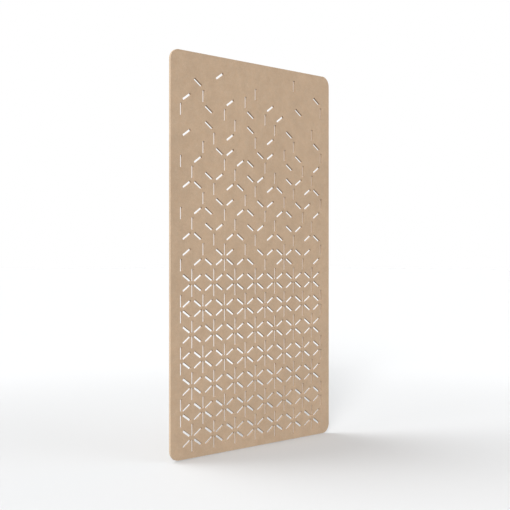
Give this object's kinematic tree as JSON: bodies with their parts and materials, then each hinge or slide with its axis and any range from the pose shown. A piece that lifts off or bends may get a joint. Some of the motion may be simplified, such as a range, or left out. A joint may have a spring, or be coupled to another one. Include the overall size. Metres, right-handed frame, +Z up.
{
  "type": "hanging acoustic screen",
  "caption": "Tall flat felt board with rounded corners and a lattice of slots that thins out towards the top, hung by threaded sleeves in its top edge.",
  "frame": {"origin": "midway between the two hanging points, on the top edge, halfway through the board's thickness", "axes": "+X along the board to the right as seen from the front, +Y through the board towards the back, +Z up, out of the threaded holes"},
  "size_m": [1.22, 0.012, 2.1],
  "materials": {
    "felt": "pressed felt, matt, light sand beige",
    "sleeve_brass": "turned, bare"
  },
  "bodies": {
    "root": {"felt_board": "felt", "suspension_insert_left": "sleeve_brass", "suspension_insert_right": "sleeve_brass"}
  },
  "joints": []
}
